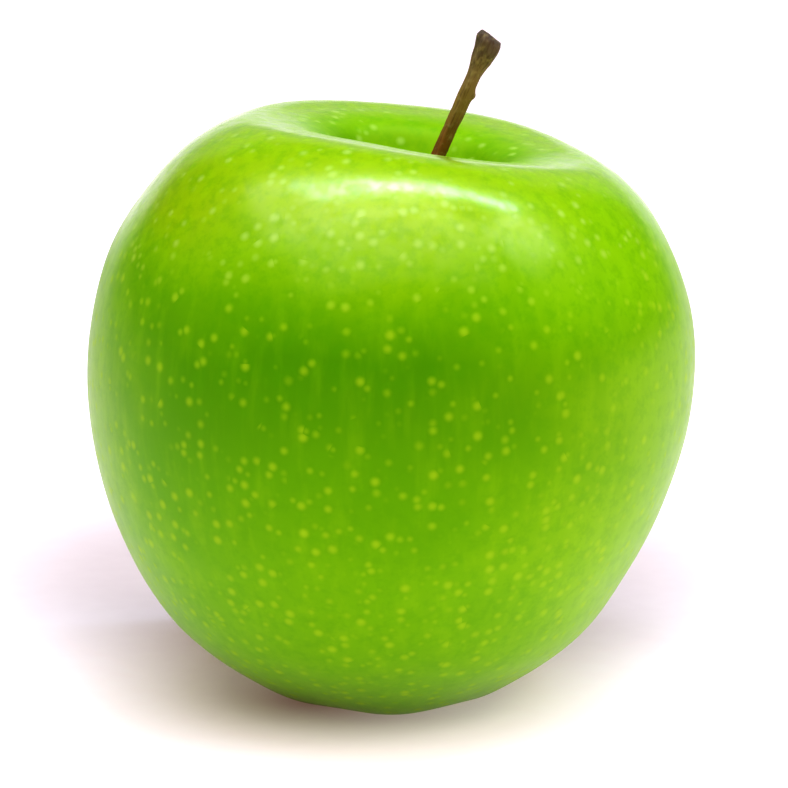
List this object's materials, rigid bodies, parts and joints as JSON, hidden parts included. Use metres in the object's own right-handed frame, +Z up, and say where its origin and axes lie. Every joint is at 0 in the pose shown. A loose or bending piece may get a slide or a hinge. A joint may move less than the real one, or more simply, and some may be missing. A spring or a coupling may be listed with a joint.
{
  "type": "green apple",
  "caption": "Whole green apple with its stem, standing on its base; the dried sepals and stamens of its flower are in the basin underneath.",
  "frame": {"origin": "on the surface the apple rests on, under the middle of its box", "axes": "+Z up towards the stem; -Y is the side seen in front; the crown leans and the stem points towards +X"},
  "size_m": [0.0794, 0.0794, 0.0882],
  "materials": {
    "skin": "waxy apple skin, yellow-green with pale lenticel dots, softly glossy",
    "bark": "matt woody stem, olive-brown above and red-brown near the foot",
    "dried_leaf": "dry, dull grey-brown sepal",
    "dried_stamen": "dry, dull dark brown threads"
  },
  "bodies": {
    "root": {"fruit": "skin", "stem": "bark", "sepal_1": "dried_leaf", "sepal_2": "dried_leaf", "sepal_3": "dried_leaf", "sepal_4": "dried_leaf", "sepal_5": "dried_leaf", "stamen_tuft": "dried_stamen"}
  },
  "joints": []
}
